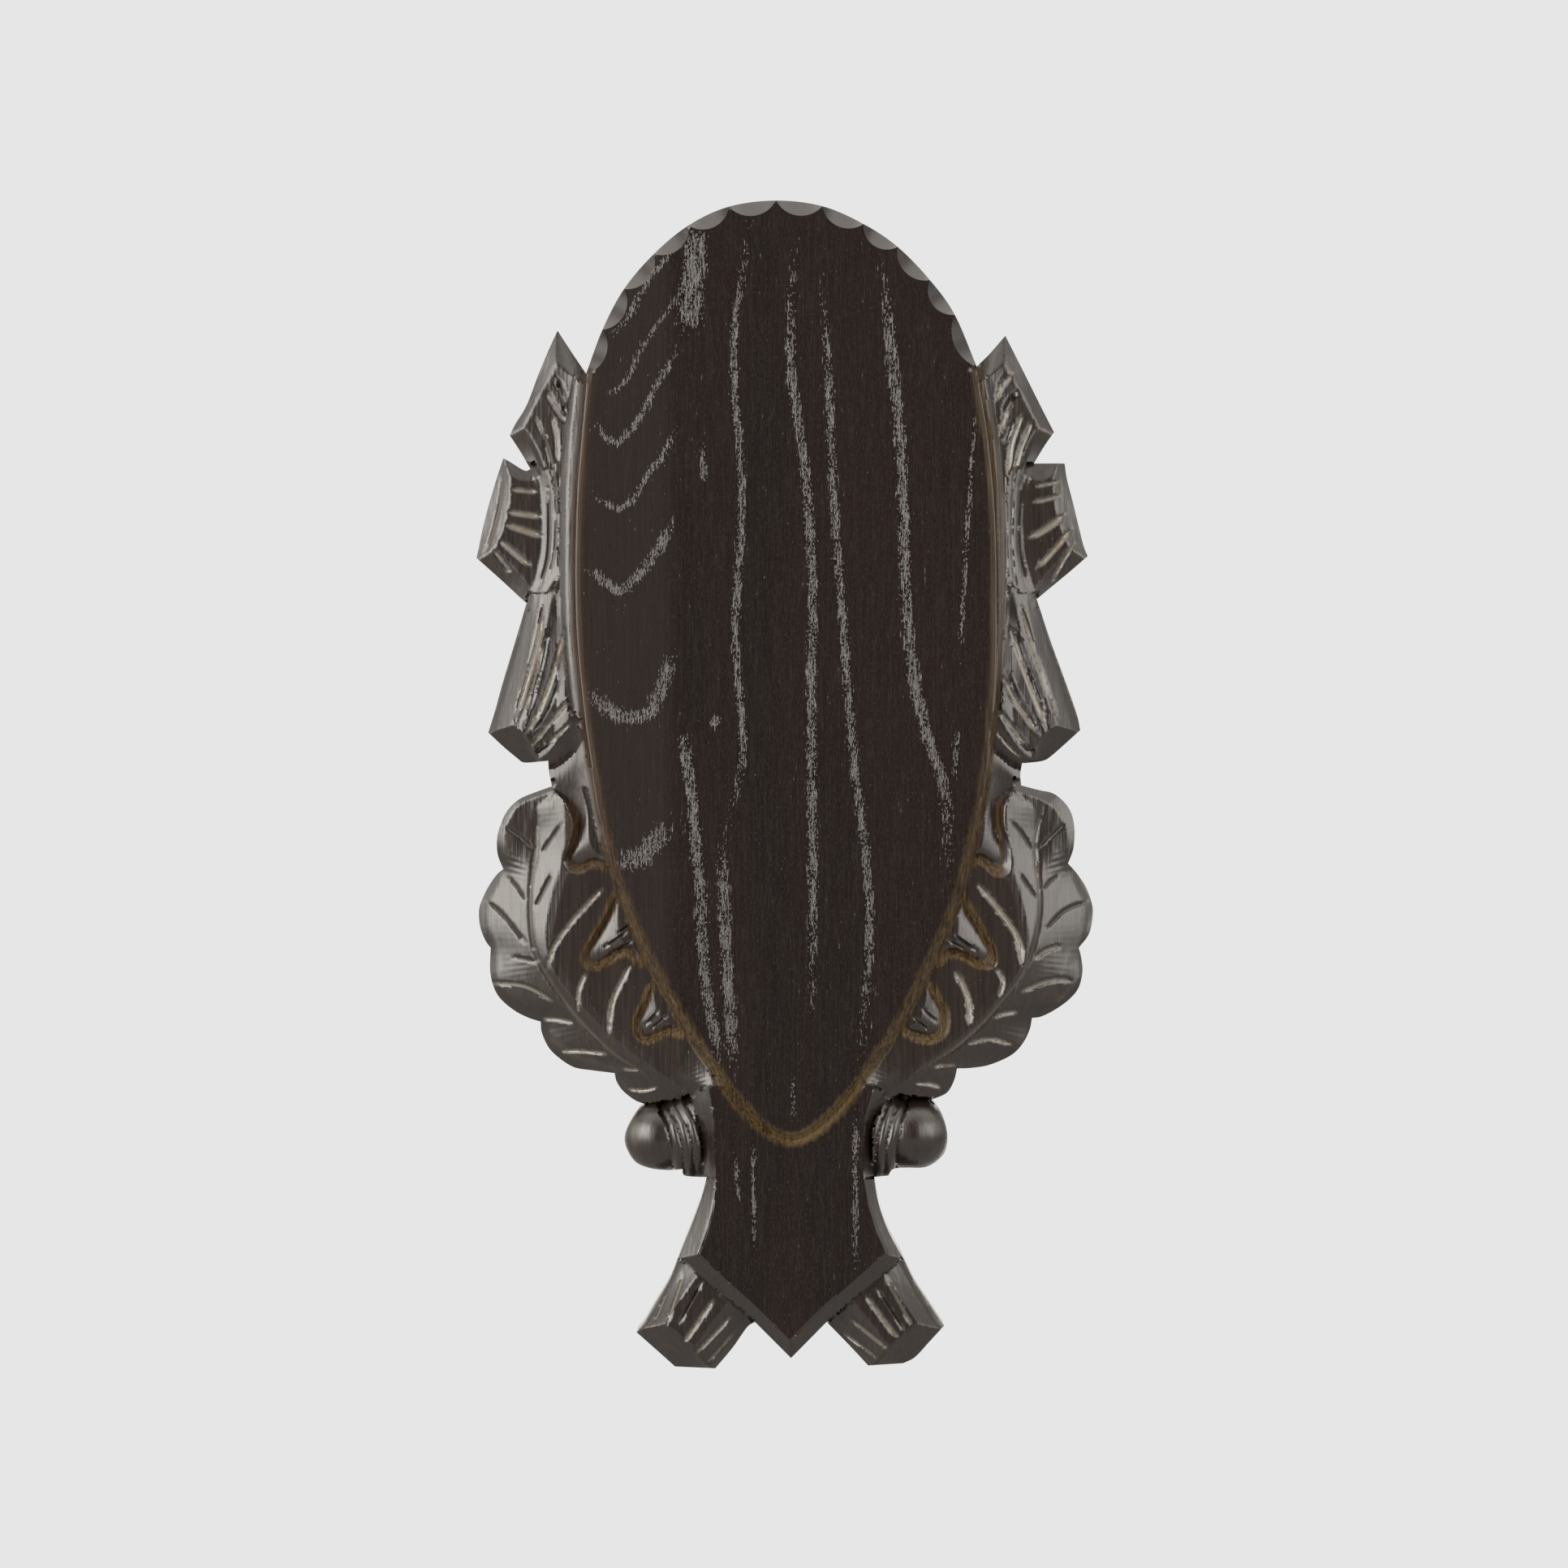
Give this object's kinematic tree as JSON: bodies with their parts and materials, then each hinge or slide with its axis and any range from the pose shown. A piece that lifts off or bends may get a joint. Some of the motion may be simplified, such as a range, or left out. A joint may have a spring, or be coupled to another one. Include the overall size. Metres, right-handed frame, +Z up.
{
  "type": "antler trophy plaque",
  "caption": "Carved, dark-stained oak wall plaque with a flat oval field framed by branch stubs, oak leaves and acorns, hung from a keyhole plate let into its back.",
  "frame": {"origin": "middle of the flat back face, which lies against the wall", "axes": "+Z up along the oval's length, the carved front faces -Y, +Y points into the wall"},
  "size_m": [0.1318, 0.018, 0.2495],
  "materials": {
    "stained_oak": "dark walnut stain under a satin varnish, open ring-porous grain with greyed pores, golden-brown in the carved grooves",
    "zinc_plated_steel": "bright zinc plating, lightly brushed"
  },
  "bodies": {
    "root": {"stave_narrow": "stained_oak", "stave_narrow_foot": "stained_oak", "stave_wide": "stained_oak", "hanger_plate": "zinc_plated_steel", "hanger_screw_top": "zinc_plated_steel", "hanger_screw_bottom": "zinc_plated_steel"}
  },
  "joints": []
}
